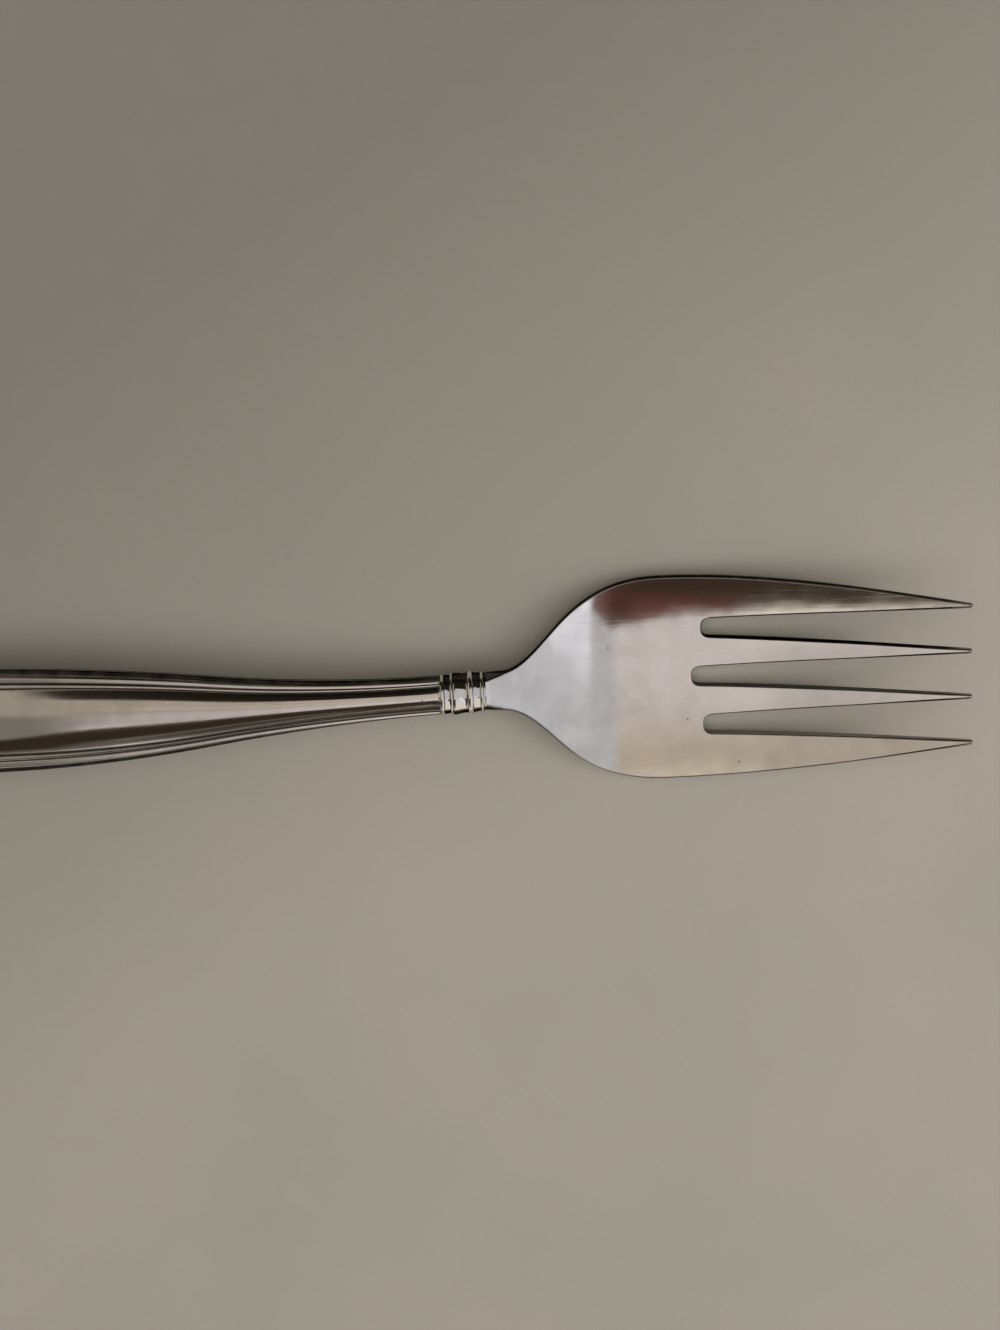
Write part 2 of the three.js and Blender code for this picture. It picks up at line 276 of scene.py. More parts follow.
def head_plan(row, line, inset):
    """Place of a corner of the head's sheet in plan, with every edge of the sheet set in."""
    lane, share = head_lines[line]
    if lane % 2 and share > 0:
        end_x, end_y = root_point(lane, share, inset)
    else:
        tine, share = (lane // 2, 1.0) if lane % 2 else (lane // 2, share)
        inner = [other for other in (2 * tine - 1, 2 * tine + 1) if 0 < other < 2 * tine_count - 2]
        starts = [slot_root(other) + root_corner for other in inner]
        end_x = between(starts[0], starts[-1], share)
        low, high = tine_edges(tine, end_x, inset)
        end_y = between(low, high, share)
    if row <= bowl_rows:
        x = end_x if row == bowl_rows else end_x * row / (bowl_rows - 1) * (1 - root_hold)
        return x, end_y * outline_half(x, inset) / outline_half(end_x, inset)
    bulge = math.sqrt(max(0.0, 1 - (2 * share - 1) ** 2)) * (tip_radius - inset) / tip_radius
    tip_x = tip_round_at + tip_reach * bulge
    x = between(end_x, tip_x, (row - bowl_rows) / tine_rows)
    low, high = tine_edges(tine, x, inset)
    return x, between(low, high, share)


def rim_turn(layer):
    """How far a layer of the head's slab has turned from its flat face to its upright wall."""
    return math.pi / 2 * min(layer, 2 * rim_steps + 1 - layer) / rim_steps


def chamfer_width(x):
    """Width of the steep facet that eases each upper corner of the neck next to the collar."""
    return neck_chamfer * max(0.0, 1 - x / chamfer_length)


def head_point(row, line, layer):
    """Place of a corner of the head's slab: layers run from the upper face round the rim to the lower."""
    rim = between(bowl_rim, tine_rim, ease(row, bowl_rows, bowl_rows + tine_rows / 2))
    rim = between(rim, tip_rim, ease(row, bowl_rows + tine_rows / 2, bowl_rows + tine_rows))
    turn = rim_turn(layer)
    x, y = head_plan(row, line, rim * (1 - math.sin(turn)))
    half = head_thickness(x) / 2
    if layer <= rim_steps:
        face = 1
        half -= chamfer_slope * max(0.0, abs(y) - head_side(x) + chamfer_width(x))
    else:
        face = -1
        across = min(1.0, abs(y) / head_side(x))
        half *= 1 - under_crown * (1 - ease(x, 0.0, thin_at)) * across ** under_crown_power
    dish = bowl_dish * ease(x, dish_from, dish_full) * (y / (bowl_width / 2)) ** 2
    return in_frame(x, y, centre_height(x) + dish + face * (half - rim * (1 - math.cos(turn))))


def tang_point(x, angle):
    """Place on the oval tang, by the angle round it."""
    y = tang_width / 2 * math.cos(angle)
    return in_frame(x, y, centre_height(x) + tang_thickness / 2 * math.sin(angle))


last_line = len(head_lines) - 1


def painted_wall_shade(row, line, layer):
    """How dark the painted shade is on a corner of a wall of the head: less on the bowl's rim and the tips.
    """
    lane = head_lines[line][0]
    darkest = painted_outline_shade
    if line not in (0, last_line):
        faded = low_slot_fade * (1 - slot_index(lane)) / 2 if lane % 2 else 0.0
        darkest = painted_slot_shade * (1 - faded)
    tip_start = bowl_rows + tip_shade_fade_from * tine_rows
    darkest *= 1 - tip_shade_fade * ease(row, tip_start, bowl_rows + tine_rows)
    change_start, change_end = (share * bowl_rows for share in edge_change)
    edge = between(painted_bowl_edge_shade, painted_tine_edge_shade, ease(row, change_start, change_end))
    return darkest * between(edge, 1.0, math.sin(rim_turn(layer)))


def painted_neck_shade(x, y):
    """How dark the painted shade is along the line that runs beside the facets of the neck and on along the
    -Y outline.
    """
    strength = 1 - ease(x, *neck_line_fade)
    width = neck_line_width * strength if y < 0 else neck_line_blur
    from_facet = head_side(x) - abs(y) - chamfer_width(x)
    beside = ease(from_facet, width - neck_line_blur, width + neck_line_blur)
    return painted_outline_shade * strength * (1 - beside)


head = grid_sheet(bowl_rows + tine_rows, last_line)
gaps = []
for face in head.faces:
    middle = face.calc_center_median()
    if middle.x > bowl_rows and head_lines[math.floor(middle.y)][0] % 2:
        gaps.append(face)
bmesh.ops.delete(head, geom=gaps, context="FACES")
thicken(head, 2 * rim_steps + 1)
rear_faces = [f for f in head.faces if all(v.co.x < 0.5 for v in f.verts)]
bmesh.ops.delete(head, geom=rear_faces, context="FACES")
shade_and_tarnish = head.verts.layers.float.new("shade_and_tarnish")
# Painted shade on the walls of the head
for v in head.verts:
    on_wall = any(is_upright(e) for e in v.link_edges)
    v[shade_and_tarnish] = painted_wall_shade(round(v.co.x), round(v.co.y), round(-v.co.z)) if on_wall else 0.0
for v in head.verts:
    layer = round(-v.co.z)
    v.co = head_point(round(v.co.x), round(v.co.y), layer)
    # Painted shade along the neck
    if layer <= rim_steps:
        v[shade_and_tarnish] = max(v[shade_and_tarnish], painted_neck_shade((v.co.x - neck_joint) / mm, v.co.y / mm))
ring = [e for e in head.edges if e.is_boundary]
for step in range(tang_steps + 1):
    grown = bmesh.ops.extrude_edge_only(head, edges=ring)["geom"]
    ring = [e for e in grown if isinstance(e, bmesh.types.BMEdge)]
    x = -tang_length * step / tang_steps
    for v in (g for g in grown if isinstance(g, bmesh.types.BMVert)):
        if step == 0:
            rise = v.co.z / mm - centre_height(0.0)
            v.co = tang_point(x, math.atan2(rise / tang_thickness, v.co.y / mm / tang_width))
        else:
            rise = v.co.z / mm - centre_height(-tang_length * (step - 1) / tang_steps)
            v.co = in_frame(x, v.co.y / mm, centre_height(x) + rise)
bmesh.ops.holes_fill(head, edges=ring)
fork_head = finish_mesh(head, "forged_head", sharp_angle=50)


def shader(tree, kind, inputs=(), **settings):
    """Adds a node with its settings, and links or sets each named input."""
    made = tree.nodes.new(kind)
    for name, value in settings.items():
        setattr(made, name, value)
    for name, value in dict(inputs).items():
        if isinstance(value, bpy.types.NodeSocket):
            tree.links.new(value, made.inputs[name])
        else:
            made.inputs[name].default_value = value
    return made


def new_material(name):
    """An empty material, and the tree its nodes go into."""
    material = bpy.data.materials.new(name)
    material.use_nodes = True
    material.node_tree.nodes.clear()
    return material, material.node_tree


silver, tree = new_material("polished_silver")
place = shader(tree, "ShaderNodeTexCoord").outputs["Object"]


def noise(scale, detail=2.0, stretch=(1.0, 1.0, 1.0), turn=0.0):
    """Noise on the piece, drawn out along axes that are turned about the vertical."""
    turned = shader(tree, "ShaderNodeMapping", {
        "Vector": place, "Rotation": (0.0, 0.0, turn), "Scale": stretch,
    })
    return shader(tree, "ShaderNodeTexNoise", {
        "Vector": turned.outputs["Vector"], "Scale": scale, "Detail": detail,
    }).outputs["Fac"]


def spread(value, low, high, to_low=0.0, to_high=1.0):
    """Maps a value from one range to another, held at both ends."""
    return shader(tree, "ShaderNodeMapRange", {
        "Value": value, "From Min": low, "From Max": high, "To Min": to_low, "To Max": to_high,
    }).outputs["Result"]


def combine(operation, first, second):
    """Works out one number from two."""
    return shader(tree, "ShaderNodeMath", {0: first, 1: second}, operation=operation).outputs["Value"]


def blend(share, first, second):
    """Mixes two colours by a share."""
    return shader(tree, "ShaderNodeMix", {0: share, 6: first, 7: second}, data_type="RGBA").outputs[2]


# Polish with soft smudges, hairline scratches of use and a few pits, and painted shade with some tarnish in
# the corners, on the walls and at the sides
clean_silver = (0.83, 0.81, 0.785, 1.0)
smudged_silver = (0.67, 0.65, 0.62, 1.0)
scratched_silver = (0.62, 0.60, 0.57, 1.0)
pit_brown = (0.12, 0.10, 0.09, 1.0)
shade_and_tarnish_brown = (0.030, 0.024, 0.019, 1.0)
white_glint = (1.0, 1.0, 1.0, 1.0)
shade_and_tarnish_glint = (0.03, 0.025, 0.02, 1.0)
scratch_ways = [(0.05, 40.0), (0.45, 60.0), (-0.7, 70.0), (1.3, 80.0)]
across_scratch = 4200.0
smudge = combine("MULTIPLY", spread(noise(70.0, 4.0), 0.3, 0.7), spread(noise(260.0, 3.0), 0.3, 0.65))
hairlines = None
for turn, along in scratch_ways:
    lines = spread(noise(1.0, 3.0, (along, across_scratch, along), turn), 0.64, 0.76)
    hairlines = lines if hairlines is None else combine("MAXIMUM", hairlines, lines)
pit_cells = shader(tree, "ShaderNodeTexVoronoi", {
    "Vector": place, "Scale": 130.0,
}, voronoi_dimensions="2D")
pits = combine("MULTIPLY", spread(pit_cells.outputs["Distance"], 0.018, 0.034, 1.0, 0.0),
               spread(pit_cells.outputs["Color"], 0.78, 0.8))
# Painted shade, partly tarnish, darkens and dulls the metal where the attribute marks it
corner_shade_and_tarnish = shader(tree, "ShaderNodeAttribute", attribute_name="shade_and_tarnish").outputs["Fac"]
darkening = combine("MULTIPLY", corner_shade_and_tarnish, spread(noise(420.0, 3.0), 0.25, 0.6, 0.9, 1.0))
colour = blend(smudge, clean_silver, smudged_silver)
colour = blend(combine("MULTIPLY", hairlines, 0.1), colour, scratched_silver)
colour = blend(combine("MULTIPLY", pits, 0.6), colour, pit_brown)
colour = blend(darkening, colour, shade_and_tarnish_brown)
roughness = combine("ADD", spread(smudge, 0.0, 1.0, 0.055, 0.105), combine("MULTIPLY", hairlines, 0.04))
roughness = combine("ADD", roughness, combine("MULTIPLY", darkening, 0.3))
waves = shader(tree, "ShaderNodeBump", {
    "Height": noise(95.0, 2.0), "Strength": 1.0, "Distance": 0.000028,
})
relief = shader(tree, "ShaderNodeBump", {
    "Height": combine("SUBTRACT", 1.0, combine("MAXIMUM", hairlines, pits)),
    "Strength": 0.1, "Distance": 0.000006, "Normal": waves.outputs["Normal"],
})
surface = shader(tree, "ShaderNodeBsdfPrincipled", {
    "Base Color": colour,
    "Metallic": 1.0,
    "Specular Tint": blend(darkening, white_glint, shade_and_tarnish_glint),
    "Roughness": roughness,
    "Normal": relief.outputs["Normal"],
})
shader(tree, "ShaderNodeOutputMaterial", {"Surface": surface.outputs["BSDF"]})
fork_head.data.materials.append(silver)
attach(fork_head, "root")
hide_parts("fork_head")

# Collar. A short turned ferrule of the same metal, soldered to the mouth of the handle: a lip, a thin
# ring, a wide band, a round ring and a last thin ring. It swells between its ends, and the tang passes
# through its bore.
band_width = 6.6
band_height = 6.1
band_swell = 0.35
scotia_depth = 0.04
band_taper = 0.125
taper_pivot = 0.4
spigot_length = 3.0
spigot_radius = 1.9
bore_radius = 1.45
# Width and rise of each ring, and the length of the band in front of it
rings = [(0.7, 0.15, 1.06), (0.46, 0.26, 2.59), (0.92, 0.3, 1.3), (0.56, 0.2, 0.41)]
ring_steps = 10
scotia_steps = 10
collar_sides = 96
# Tarnish with painted shade in the feet of the rings
foot_tarnish_and_shade = 0.7
foot_reach = 0.12
# Painted shade on the sides of the collar, for the dark that they mirror
painted_flank_shade = 1.0
flank_change = (0.6, 0.72)
ring_margin = 0.08
collar_weld = 1e-6


def swollen(x):
    """Radius of the collar's bands at a place from its rear face."""
    return band_width / 2 + band_swell * math.sin(math.pi * x / collar_length)


collar_profile = [(-spigot_length, bore_radius), (-spigot_length, spigot_radius), (0.0, spigot_radius)]
ring_feet = []
ring_start = 0.0
for width, rise, band in rings:
    ring_feet += [ring_start, ring_start + width]
    ring_radius = swollen(ring_start + width / 2)
    band_radius = swollen(ring_start + width + band / 2)
    for step in range(ring_steps + 1):
        angle = math.pi * (step / ring_steps - 0.5)
        ring_x = ring_start + width / 2 * (1 + math.sin(angle))
        collar_profile.append((ring_x, ring_radius + rise * math.cos(angle)))
    for step in range(1, scotia_steps):
        share = step / scotia_steps
        hollow = scotia_depth * math.sin(math.pi * share) + band_taper * band * (share - taper_pivot)
        collar_profile.append((ring_start + width + band * share, band_radius - hollow))
    ring_start += width + band
collar_profile += [(collar_length, band_width / 2), (collar_length, bore_radius)]
turning = bmesh.new()
shade_and_tarnish = turning.verts.layers.float.new("shade_and_tarnish")
corners = [turning.verts.new((x, 0.0, radius)) for x, radius in collar_profile]
for corner in corners:
    nearest = min(abs(corner.co.x - foot) for foot in ring_feet)
    corner[shade_and_tarnish] = foot_tarnish_and_shade * max(0.0, 1 - nearest / foot_reach)
profile_edges = [turning.edges.new(pair) for pair in zip(corners, corners[1:] + corners[:1])]
bmesh.ops.spin(turning, geom=corners + profile_edges, cent=(0, 0, 0), axis=(1, 0, 0), angle=2 * math.pi,
               steps=collar_sides, use_merge=True)
bmesh.ops.remove_doubles(turning, verts=turning.verts, dist=collar_weld)
for v in turning.verts:
    x = v.co.x - collar_length
    radius = math.hypot(v.co.y, v.co.z)
    crest = any(start + ring_margin < v.co.x < end - ring_margin
                for start, end in zip(ring_feet[::2], ring_feet[1::2]))
    # Painted shade on the sides, off the crests of the rings
    if not crest:
        v[shade_and_tarnish] = max(v[shade_and_tarnish], painted_flank_shade * ease(abs(v.co.y) / radius, *flank_change))
    v.co = in_frame(x, v.co.y, centre_height(x) + v.co.z * band_height / band_width)
collar = finish_mesh(turning, "ringed_collar", sharp_angle=60)
collar.data.materials.append(silver)
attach(collar, "root")
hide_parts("collar")

# Handle shells. Two thin half shells, struck in dies with a double thread along the edge and a plain
# crowned panel, then soldered rim to rim. Front and back are alike.
mouth_width = 6.6
mouth_flare = 0.005
waist_at = 40.0
waist_width = 12.4
waist_flare = 0.135
handle_width = 18.5
end_length = 38.0
end_power = 2.5
end_focus = 9.0
mouth_depth = 2.8
bulge_at = 62.0
bulge_depth = 2.89
end_depth = 2.4
side_round = 0.5
border_slope = 0.1
mouth_crown = 0.9
bulge_crown = 1.25
end_crown = 0.9
crown_power = 2.5
mouth_border = 1.3
mouth_border_flare = 0.016
broad_border_at = 70.0
broad_border = 3.2
broad_border_flare = 0.02
end_border = 3.0
end_border_flare = -0.02
shell_wall = 0.7
solder_thickness = 0.2
solder_fit = 0.05
thread_relief = 0.22
# Shares of the border where the flanks of a thread start and end
outer_thread = (0.28, 0.37, 0.59, 0.67)
inner_thread = (0.68, 0.75, 0.87, 0.95)
crest_share = 0.4
edge_fall = 0.6
# Tarnish with painted shade in the grooves, and painted shade at the side and on the steep foot of the
# panel
groove_tarnish_and_shade = 1.0
groove_shares = (0.67, 0.96)
groove_blur = (0.02, 0.06)
painted_side_shade = 0.95
side_change = (0.27, 0.35)
# Panel and threads turn darker away from the mouth
panel_darkening = 0.2
thread_darkening = 0.3
painted_foot_shade = 0.85
foot_steepness = (0.42, 0.56)
darkening_from = 4.0
darkening_full = 40.0
mouth_roll = 0.15
roll_length = 0.7
roll_stations = 6
handle_weld = 1e-7
side_stations = 96
end_stations = 44
side_rows = 7
border_rows = 37
panel_rows = 18
side_length = handle_length - end_length
rim_lift = solder_thickness / 2 + solder_fit
handle_side = curve_through([
    (0.0, mouth_width / 2, mouth_flare),
    (waist_at, waist_width / 2, waist_flare),
    (side_length, handle_width / 2, 0.0),
])
shell_depth = curve_through([
    (0.0, mouth_depth, 0.0),
    (bulge_at, bulge_depth, 0.0),
    (handle_length, end_depth, 0.0),
])
panel_crown = curve_through([
    (0.0, mouth_crown, 0.0),
    (bulge_at, bulge_crown, 0.0),
    (handle_length, end_crown, 0.0),
])
border_width = curve_through([
    (0.0, mouth_border, mouth_border_flare),
    (broad_border_at, broad_border, broad_border_flare),
    (handle_length, end_border, end_border_flare),
])

# Stations along the edge of the +Y half, from the mouth to the middle of the end
Station = namedtuple("Station", "edge inward middle border panel_edge reach depth crown")
side_places = [roll_length * i / roll_stations for i in range(roll_stations)]
side_places += [between(roll_length, side_length, i / side_stations) for i in range(side_stations)]
edge_line = [(s, handle_side(s)) for s in side_places]
for i in range(end_stations + 1):
    angle = math.pi / 2 * i / end_stations
    edge_line.append((side_length + end_length * math.sin(angle) ** (2 / end_power),
                      handle_width / 2 * max(0.0, math.cos(angle)) ** (2 / end_power)))
edge_line[-1] = (handle_length, 0.0)
stations = []
for i, (s, y) in enumerate(edge_line):
    before = edge_line[max(i - 1, 0)]
    after = edge_line[i + 1] if i + 1 < len(edge_line) else (before[0], -before[1])
    inward = Vector((before[1] - after[1], before[0] - after[0])).normalized()
    if i == 0:
        inward = Vector((0.0, -1.0))
    middle_at = s * (handle_length - end_focus) / handle_length
    middle = Vector((-collar_length - middle_at, 0.0))
    edge = Vector((-collar_length - s, y))
    border = border_width(s)
    panel_edge = edge + inward * border
    reach = border + (panel_edge - middle).length
    depth = shell_depth(middle_at)
    crown = panel_crown(middle_at)
    stations.append(Station(edge, inward, middle, border, panel_edge, reach, depth, crown))


def on_thread(share, thread):
    """1 on top of a thread and 0 beside it, by the share of the border."""
    rise_start, rise_end, fall_start, fall_end = thread
    return ease(share, rise_start, rise_end) * (1 - ease(share, fall_start, fall_end))


def thread_rise(share, border):
    """Height of the two threads over the shell, across the border from the edge to the panel."""
    to_crest = crest_share - share
    if to_crest < 0:
        level = border_slope * border * to_crest
    else:
        level = -edge_fall * border * to_crest ** 2
    outer = on_thread(share, outer_thread)
    return outer * (thread_relief + level) + thread_relief * on_thread(share, inner_thread)


def row_place(station, row):
    """Distance of a row from the edge: rows round the side, cross the border and then the panel."""
    if row <= side_rows:
        return side_round * (1 - math.cos(math.pi / 2 * row / side_rows))
    if row <= border_rows:
        return between(side_round, station.border, (row - side_rows) / (border_rows - side_rows))
    return between(station.border, station.reach, (row - border_rows) / panel_rows)


def shell_shade(station, row):
    """Tarnish and painted shade beside the threads, painted shade at the side and on the steep foot of the
    panel, and colour that darkens away from the mouth.
    """
    from_mouth = -collar_length - station.edge.x
    far_darkening = ease(from_mouth, darkening_from, darkening_full)
    along = row_place(station, row)
    if row > border_rows:
        panel_reach = station.reach - station.border
        from_middle = max(0.0, station.reach - along) / panel_reach
        steepness = station.crown * crown_power * from_middle ** (crown_power - 1) / panel_reach
        return max(panel_darkening * far_darkening, painted_foot_shade * ease(steepness, *foot_steepness))
    share = along / station.border
    from_groove = min(abs(share - corner) for corner in groove_shares)
    groove = 1 - ease(from_groove, *groove_blur)
    side = 1 - ease(share, *side_change)
    return max(groove_tarnish_and_shade * groove, painted_side_shade * side, thread_darkening * far_darkening)


def skin_point(station, row, inset):
    """Place on a skin of the shell, and its height over the rim: rows run from the edge to the middle."""
    edge, inward, middle, border, panel_edge, reach, depth, crown = station
    along = row_place(station, row)
    rise = 0.0
    if inset == 0:
        from_mouth = -collar_length - edge.x
        rolled = mouth_roll * max(0.0, 1 - from_mouth / roll_length) ** 2
        rise = thread_rise(along / border, border) + rolled
    along = between(inset, reach, along / reach)
    if along <= border:
        plan = edge + inward * along
    else:
        plan = panel_edge.lerp(middle, (along - border) / (reach - border))
    border_rise = border_slope * (border - side_round)
    side = depth - inset - crown - border_rise + rise
    from_top = max(0.0, 1 - (along - inset) / side_round)
    on_border = min(max((along - side_round) / (border - side_round), 0.0), 1.0)
    from_middle = min(max((reach - along) / (reach - border), 0.0), 1.0)
    height = side * math.sqrt(1 - from_top ** 2) + border_rise * on_border
    return plan.x, plan.y, height + crown * (1 - from_middle ** crown_power)


def handle_piece(name, rows, place):
    """Half of a handle piece on the +Y side, mirrored to the other: place says where a corner goes."""
    bm = grid_sheet(len(stations) - 1, rows)
    thicken(bm, 1)
    shade_and_tarnish = bm.verts.layers.float.new("shade_and_tarnish")
    for v in bm.verts:
        station = stations[round(v.co.x)]
        row = round(v.co.y)
        layer = round(-v.co.z)
        # Painted shade, partly tarnish, on the outer skin of the shells
        v[shade_and_tarnish] = shell_shade(station, row) if layer == 0 and rows > border_rows else 0.0
        v.co = in_frame(*place(station, row, layer))
    inside = [f for f in bm.faces if all(abs(v.co.y) < handle_weld for v in f.verts)]
    bmesh.ops.delete(bm, geom=inside, context="FACES")
    everything = bm.verts[:] + bm.edges[:] + bm.faces[:]
    bmesh.ops.mirror(bm, geom=everything, axis="Y", merge_dist=handle_weld)
    bmesh.ops.remove_doubles(bm, verts=bm.verts, dist=handle_weld)
    return finish_mesh(bm, name, sharp_angle=60)


def shell_place(side):
    """Says where the corners of a shell go: side is 1 for the front and -1 for the back."""
    def place(station, row, layer):
        x, y, height = skin_point(station, row, shell_wall * layer)
        return x, y, centre_height(x) + side * (height + rim_lift)
    return place


for name, node, side in (("front_shell", "handle_front_shell", 1), ("back_shell", "handle_back_shell", -1)):
    shell = handle_piece(name, border_rows + panel_rows, shell_place(side))
    shell.data.materials.append(silver)
    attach(shell, "root")
    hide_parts(node)

# Solder line. A hairline of hard solder between the rims of the two shells, dressed flush and left a
# little duller than the polished metal on both sides of it.
bright_solder = (0.58, 0.55, 0.51, 1.0)
dull_grey = (0.40, 0.37, 0.33, 1.0)


def solder_place(station, row, layer):
    """Where the corners of the line go: it is as wide as the rims that it joins."""
    x, y, _ = skin_point(station, 0, shell_wall * row)
    return x, y, centre_height(x) + solder_thickness * (0.5 - layer)


solder = handle_piece("solder_line", 1, solder_place)
dull_solder, tree = new_material("dull_solder")
place = shader(tree, "ShaderNodeTexCoord").outputs["Object"]
patches = spread(noise(260.0, 4.0), 0.3, 0.7)
grain = noise(2600.0, 3.0)
surface = shader(tree, "ShaderNodeBsdfPrincipled", {
    "Base Color": blend(patches, bright_solder, dull_grey),
    "Metallic": 1.0,
    "Roughness": spread(grain, 0.3, 0.7, 0.24, 0.42),
    "Normal": shader(tree, "ShaderNodeBump", {
        "Height": grain, "Strength": 0.4, "Distance": 0.00002,
    }).outputs["Normal"],
})
shader(tree, "ShaderNodeOutputMaterial", {"Surface": surface.outputs["BSDF"]})
solder.data.materials.append(dull_solder)
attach(solder, "root")
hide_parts("seam_solder")

# Filler. The cement that was poured into the handle and set round the tang. It is hidden inside the
# shells, and its solid is the one made with the fork.
dark_cement = (0.56, 0.52, 0.47, 1.0)
pale_cement = (0.66, 0.63, 0.58, 1.0)
cement, tree = new_material("set_cement")
place = shader(tree, "ShaderNodeTexCoord").outputs["Object"]
sand = noise(900.0, 6.0)
surface = shader(tree, "ShaderNodeBsdfPrincipled", {
    "Base Color": blend(spread(noise(180.0, 5.0), 0.3, 0.7), dark_cement, pale_cement),
    "Roughness": spread(sand, 0.3, 0.7, 0.8, 0.95),
    "Normal": shader(tree, "ShaderNodeBump", {
        "Height": sand, "Strength": 0.6, "Distance": 0.0001,
    }).outputs["Normal"],
})
shader(tree, "ShaderNodeOutputMaterial", {"Surface": surface.outputs["BSDF"]})
bpy.data.objects["handle_filler"].material_slots[0].material = cement

# Floor. A plain table top of a pale, slightly mottled grey-beige, with painted shade that darkens it in a
# broad band which runs slantwise behind the fork.
floor_cells = 8
floor_reach = 1.5
beige = (0.32, 0.30, 0.255, 1.0)
sand_beige = (0.37, 0.335, 0.285, 1.0)
fleck_grey = (0.35, 0.335, 0.30, 1.0)
shaded_beige = (0.215, 0.20, 0.168, 1.0)
floor_mesh = bmesh.new()
bmesh.ops.create_grid(floor_mesh, x_segments=floor_cells, y_segments=floor_cells, size=floor_reach)
floor = finish_mesh(floor_mesh, "floor", sharp_angle=60)
table_top, tree = new_material("pale_table_top")
place = shader(tree, "ShaderNodeTexCoord").outputs["Object"]
clouds = spread(noise(14.0, 3.0), 0.3, 0.7)
flecks = spread(noise(150.0, 4.0), 0.3, 0.7)
pale = blend(clouds, beige, sand_beige)
pale = blend(combine("MULTIPLY", flecks, 0.35), pale, fleck_grey)
spot = shader(tree, "ShaderNodeSeparateXYZ", {"Vector": place}).outputs
# Painted shade in a broad band behind the fork
slant = combine("SUBTRACT", combine("MULTIPLY", spot["Y"], 2.2), combine("MULTIPLY", spot["X"], 1.2))
painted_shade_band = combine("MULTIPLY", spread(slant, -0.1, 0.2), spread(slant, 0.3, 0.8, 1.0, 0.0))
pale = blend(painted_shade_band, pale, shaded_beige)
surface = shader(tree, "ShaderNodeBsdfPrincipled", {
    "Base Color": pale,
    "Roughness": spread(flecks, 0.0, 1.0, 0.6, 0.75),
    "Normal": shader(tree, "ShaderNodeBump", {
        "Height": noise(700.0, 4.0), "Strength": 0.25, "Distance": 0.0002,
    }).outputs["Normal"],
})
shader(tree, "ShaderNodeOutputMaterial", {"Surface": surface.outputs["BSDF"]})
floor.data.materials.append(table_top)

# Studio. Soft overhead light between a dark side in front and one behind, with a cool window to the
# right, which the polished metal mirrors. Angles lean from the vertical to +X and to +Y, in degrees.
world = bpy.data.worlds.new("studio")
bpy.context.scene.world = world
world.use_nodes = True
tree = world.node_tree
tree.nodes.clear()
place = shader(tree, "ShaderNodeTexCoord").outputs["Generated"]
heading = shader(tree, "ShaderNodeSeparateXYZ", {"Vector": place}).outputs
unrest = spread(noise(6.0, 3.0), 0.3, 0.7, -0.35, 0.35)
lean_x = combine("MULTIPLY", combine("ARCTAN2", heading["X"], heading["Z"]), math.degrees(1.0))
lean_y = combine("MULTIPLY", combine("ARCTAN2", heading["Y"], heading["Z"]), math.degrees(1.0))
uneven_y = combine("ADD", lean_y, unrest)

# Light overhead: rosy in front, cream behind, grey to the right and dim to the left
rosy = (0.65, 0.59, 0.57, 1.0)
tan = (0.50, 0.42, 0.34, 1.0)
cream = (0.62, 0.54, 0.44, 1.0)
far_cream = (0.52, 0.45, 0.38, 1.0)
right_grey = (0.53, 0.52, 0.525, 1.0)
left_dim = (0.24, 0.22, 0.195, 1.0)
left_glow = (0.85, 0.77, 0.66, 1.0)
left_tan = (0.46, 0.40, 0.33, 1.0)
light = blend(spread(lean_y, -11.0, -4.5), rosy, tan)
light = blend(spread(uneven_y, -3.2, -2.0), light, cream)
light = blend(spread(lean_y, 2.0, 8.0), light, far_cream)
light = blend(spread(lean_x, 15.0, 18.5), light, right_grey)
light = blend(spread(lean_x, -10.5, -19.0), light, left_dim)
glow = combine("MULTIPLY", spread(lean_x, -8.0, -11.0), spread(lean_x, -17.0, -14.5))
glow = combine("MULTIPLY", glow, spread(lean_y, -17.0, -20.0))
light = blend(glow, light, left_glow)
left_part = combine("MULTIPLY", spread(lean_y, -11.0, -5.0), spread(lean_x, -10.5, -12.5))
light = blend(left_part, light, left_tan)

# Low front: nearly dark, with a bright end far to the left
low_brown = (0.065, 0.050, 0.036, 1.0)
low_left = (0.15, 0.13, 0.11, 1.0)
low_bright = (0.78, 0.75, 0.71, 1.0)
low_front = blend(spread(lean_x, -8.0, -17.0), low_brown, low_left)
low_end = combine("MULTIPLY", spread(lean_y, -69.0, -72.0), spread(lean_x, -17.0, -22.0))
low_front = blend(low_end, low_front, low_bright)
front_end = combine("ADD", lean_y, spread(lean_x, 8.0, 11.0, 0.0, 24.0))
front_end = combine("ADD", front_end, spread(lean_x, -28.0, -20.0, 10.0, 0.0))
light = blend(spread(front_end, -50.0, -57.0), light, low_front)

# Dark front: brown, with a ruddy upper edge that is paler to the right
front_brown = (0.040, 0.027, 0.016, 1.0)
front_ruddy = (0.11, 0.033, 0.025, 1.0)
front_right = (0.15, 0.075, 0.065, 1.0)
ruddy_y = combine("ADD", lean_y, spread(lean_x, 0.0, 14.0, 0.0, 2.0))
ruddy = combine("MULTIPLY", spread(noise(9.0), 0.4, 0.6, 0.5, 1.0), spread(ruddy_y, -24.2, -22.6))
ruddy = combine("MULTIPLY", ruddy, spread(lean_x, -11.5, -7.0))
front_colour = blend(ruddy, front_brown, front_ruddy)
front_colour = blend(spread(lean_x, 17.0, 21.0), front_colour, front_right)
front_edge = combine("ADD", spread(lean_x, -13.0, 4.0, -1.7, 0.0), spread(lean_x, 18.0, 24.0, 0.0, -3.0))
front_edge = combine("ADD", front_edge, spread(lean_x, -27.0, -14.0, -13.0, 0.0))
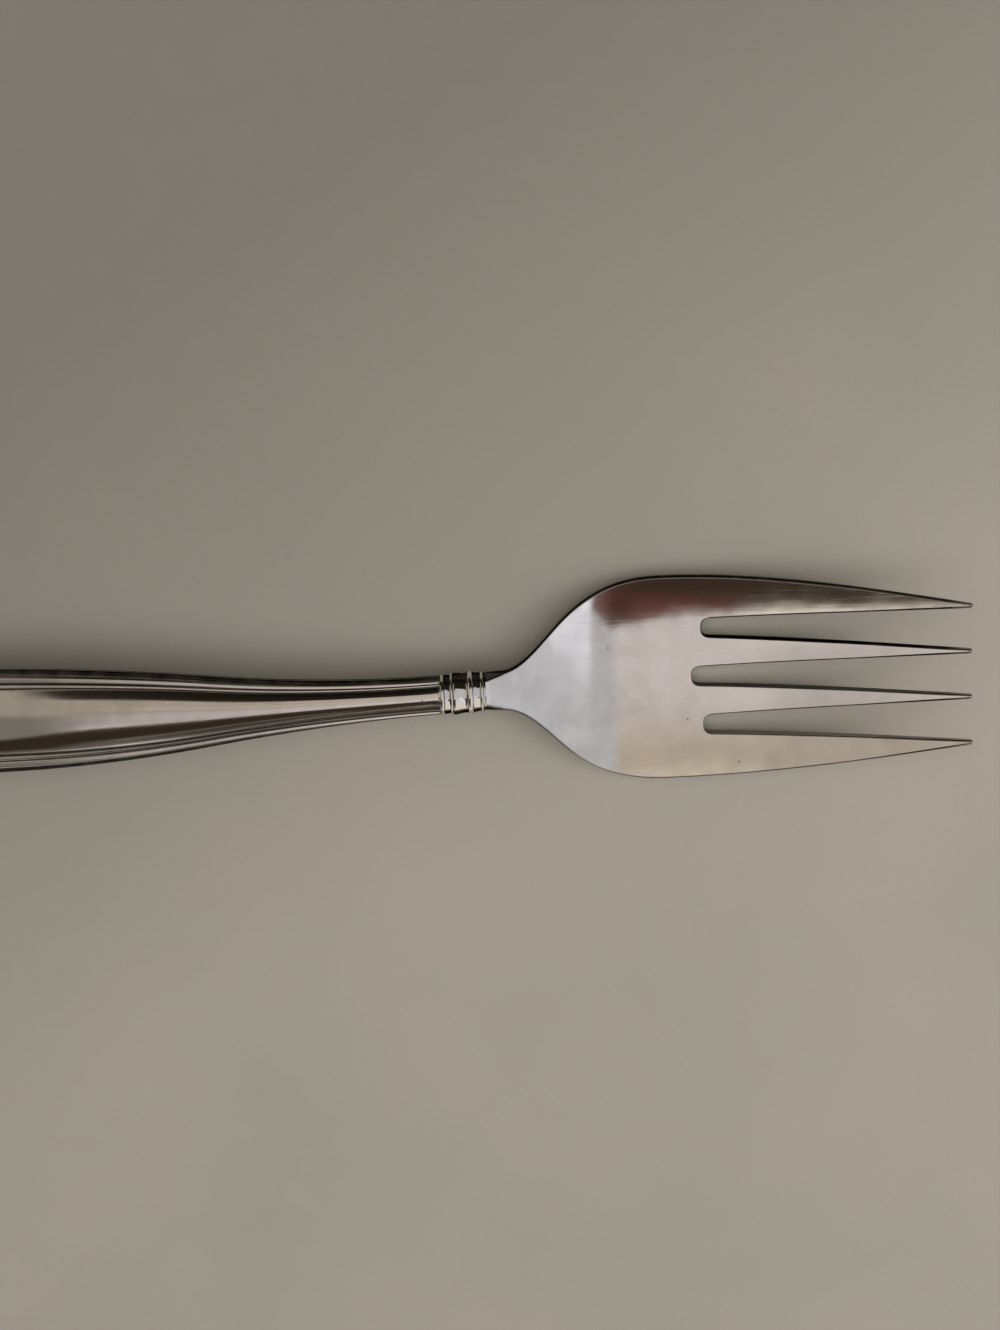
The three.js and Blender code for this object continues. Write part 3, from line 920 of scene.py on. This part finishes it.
front = combine("MULTIPLY", spread(combine("SUBTRACT", uneven_y, front_edge), -20.2, -20.9),
                spread(front_end, -57.0, -50.0))
light = blend(front, light, front_colour)

# Window to the right: cool, with a brighter stripe along its edge and warmer low in front
window_low = (0.66, 0.66, 0.70, 1.0)
window_high = (0.53, 0.52, 0.545, 1.0)
stripe_low = (0.86, 0.86, 0.92, 1.0)
stripe_high = (0.58, 0.575, 0.59, 1.0)
window_warm = (0.78, 0.70, 0.60, 1.0)
window_rise = spread(lean_y, -22.0, -12.0)
window = blend(window_rise, window_low, window_high)
stripe = blend(window_rise, stripe_low, stripe_high)
window = blend(spread(lean_x, 26.6, 27.4), stripe, window)
window = blend(spread(lean_y, -25.0, -60.0), window, window_warm)
window_edge = combine("ADD", lean_x, spread(lean_y, -27.0, -34.0, 0.0, 7.0))
light = blend(spread(window_edge, 23.6, 24.4), light, window)

# Dark side behind, whose edge is uneven from left to right
behind_brown = (0.017, 0.0125, 0.0075, 1.0)
behind_edge = combine("ADD", spread(lean_x, 16.0, 34.0, 0.0, 12.0), spread(lean_x, -30.0, -17.0, 40.0, 0.0))
behind_edge = combine("ADD", behind_edge, spread(lean_x, 0.0, 6.0, 0.0, 8.0))
behind_edge = combine("ADD", behind_edge, spread(lean_x, 9.0, 12.5, 0.0, -7.0))
behind = spread(combine("SUBTRACT", uneven_y, behind_edge), 22.5, 25.0)
light = blend(behind, light, behind_brown)
background = shader(tree, "ShaderNodeBackground", {"Color": light, "Strength": 1.0})
shader(tree, "ShaderNodeOutputWorld", {"Surface": background.outputs["Background"]})

# Lamps, which the metal doesn't mirror: name, place, size and power
lamps = [
    ("key_lamp", (0.22, -0.3, 0.5), 0.45, 0.3),
    ("side_lamp", (0.75, -0.1, 0.45), 0.4, 2.6),
    ("fill_lamp", (0.0, -0.05, 1.1), 1.4, 7.0),
]
for name, spot, size, power in lamps:
    lamp = bpy.data.lights.new(name, "AREA")
    lamp.size = size
    lamp.energy = power
    lamp_object = bpy.data.objects.new(name, lamp)
    lamp_object.location = spot
    lamp_object.rotation_euler = (-Vector(spot)).to_track_quat("-Z", "Y").to_euler()
    lamp_object.visible_glossy = False
    bpy.context.scene.collection.objects.link(lamp_object)

# Camera. It looks down on the fork from above, a little from the +Y side and slightly turned, as the
# picture was taken.
aim_forward = 2.7
aim_left = 3.2
camera_distance = 0.37
tilt = math.radians(13.0)
roll = math.atan(0.05)
lens_per_metre = 201.6
sensor_width = 36.0
look_at = Vector((neck_joint + aim_forward * mm, aim_left * mm, 0.0))
back = Vector((0.0, math.sin(tilt), math.cos(tilt)))
up = Vector((0.0, math.cos(tilt), -math.sin(tilt)))
right = Vector((1.0, 0.0, 0.0))
camera_x = right * math.cos(roll) - up * math.sin(roll)
camera_y = right * math.sin(roll) + up * math.cos(roll)
camera = bpy.data.cameras.new("camera")
camera.sensor_fit = "HORIZONTAL"
camera.sensor_width = sensor_width
camera.lens = lens_per_metre * camera_distance
camera_object = bpy.data.objects.new("camera", camera)
turned = Matrix((camera_x, camera_y, back)).transposed().to_4x4()
camera_object.matrix_world = Matrix.Translation(look_at + back * camera_distance) @ turned
bpy.context.scene.collection.objects.link(camera_object)
bpy.context.scene.camera = camera_object

bpy.context.scene.view_settings.view_transform = "Standard"
